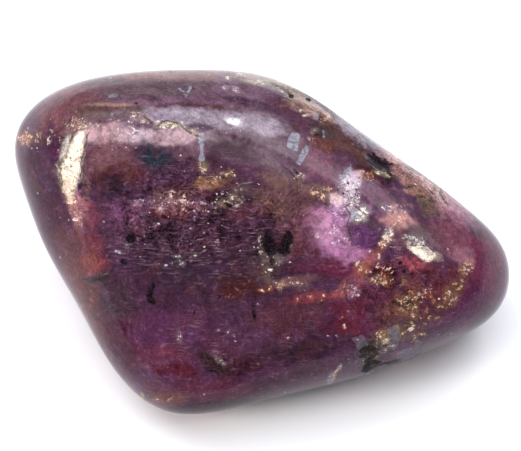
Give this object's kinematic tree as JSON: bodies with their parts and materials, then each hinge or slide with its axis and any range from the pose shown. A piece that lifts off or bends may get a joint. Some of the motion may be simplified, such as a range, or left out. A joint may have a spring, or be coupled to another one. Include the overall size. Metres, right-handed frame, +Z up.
{
  "type": "tumbled ruby stone",
  "caption": "Tumbled and polished opaque ruby: a rounded rhomb of stone with worn facets, small pits and chips, lying on its flattest side.",
  "frame": {"origin": "on the resting plane, under the middle of the stone's box", "axes": "+X along the longest extent towards the narrow tip, +Z up from the resting side, and the broad face looks towards -Y and +Z"},
  "size_m": [0.03, 0.0204, 0.0171],
  "materials": {
    "ruby": "polished, with fine pits and dull abraded flats"
  },
  "bodies": {
    "root": {"ruby_stone": "ruby"}
  },
  "joints": []
}
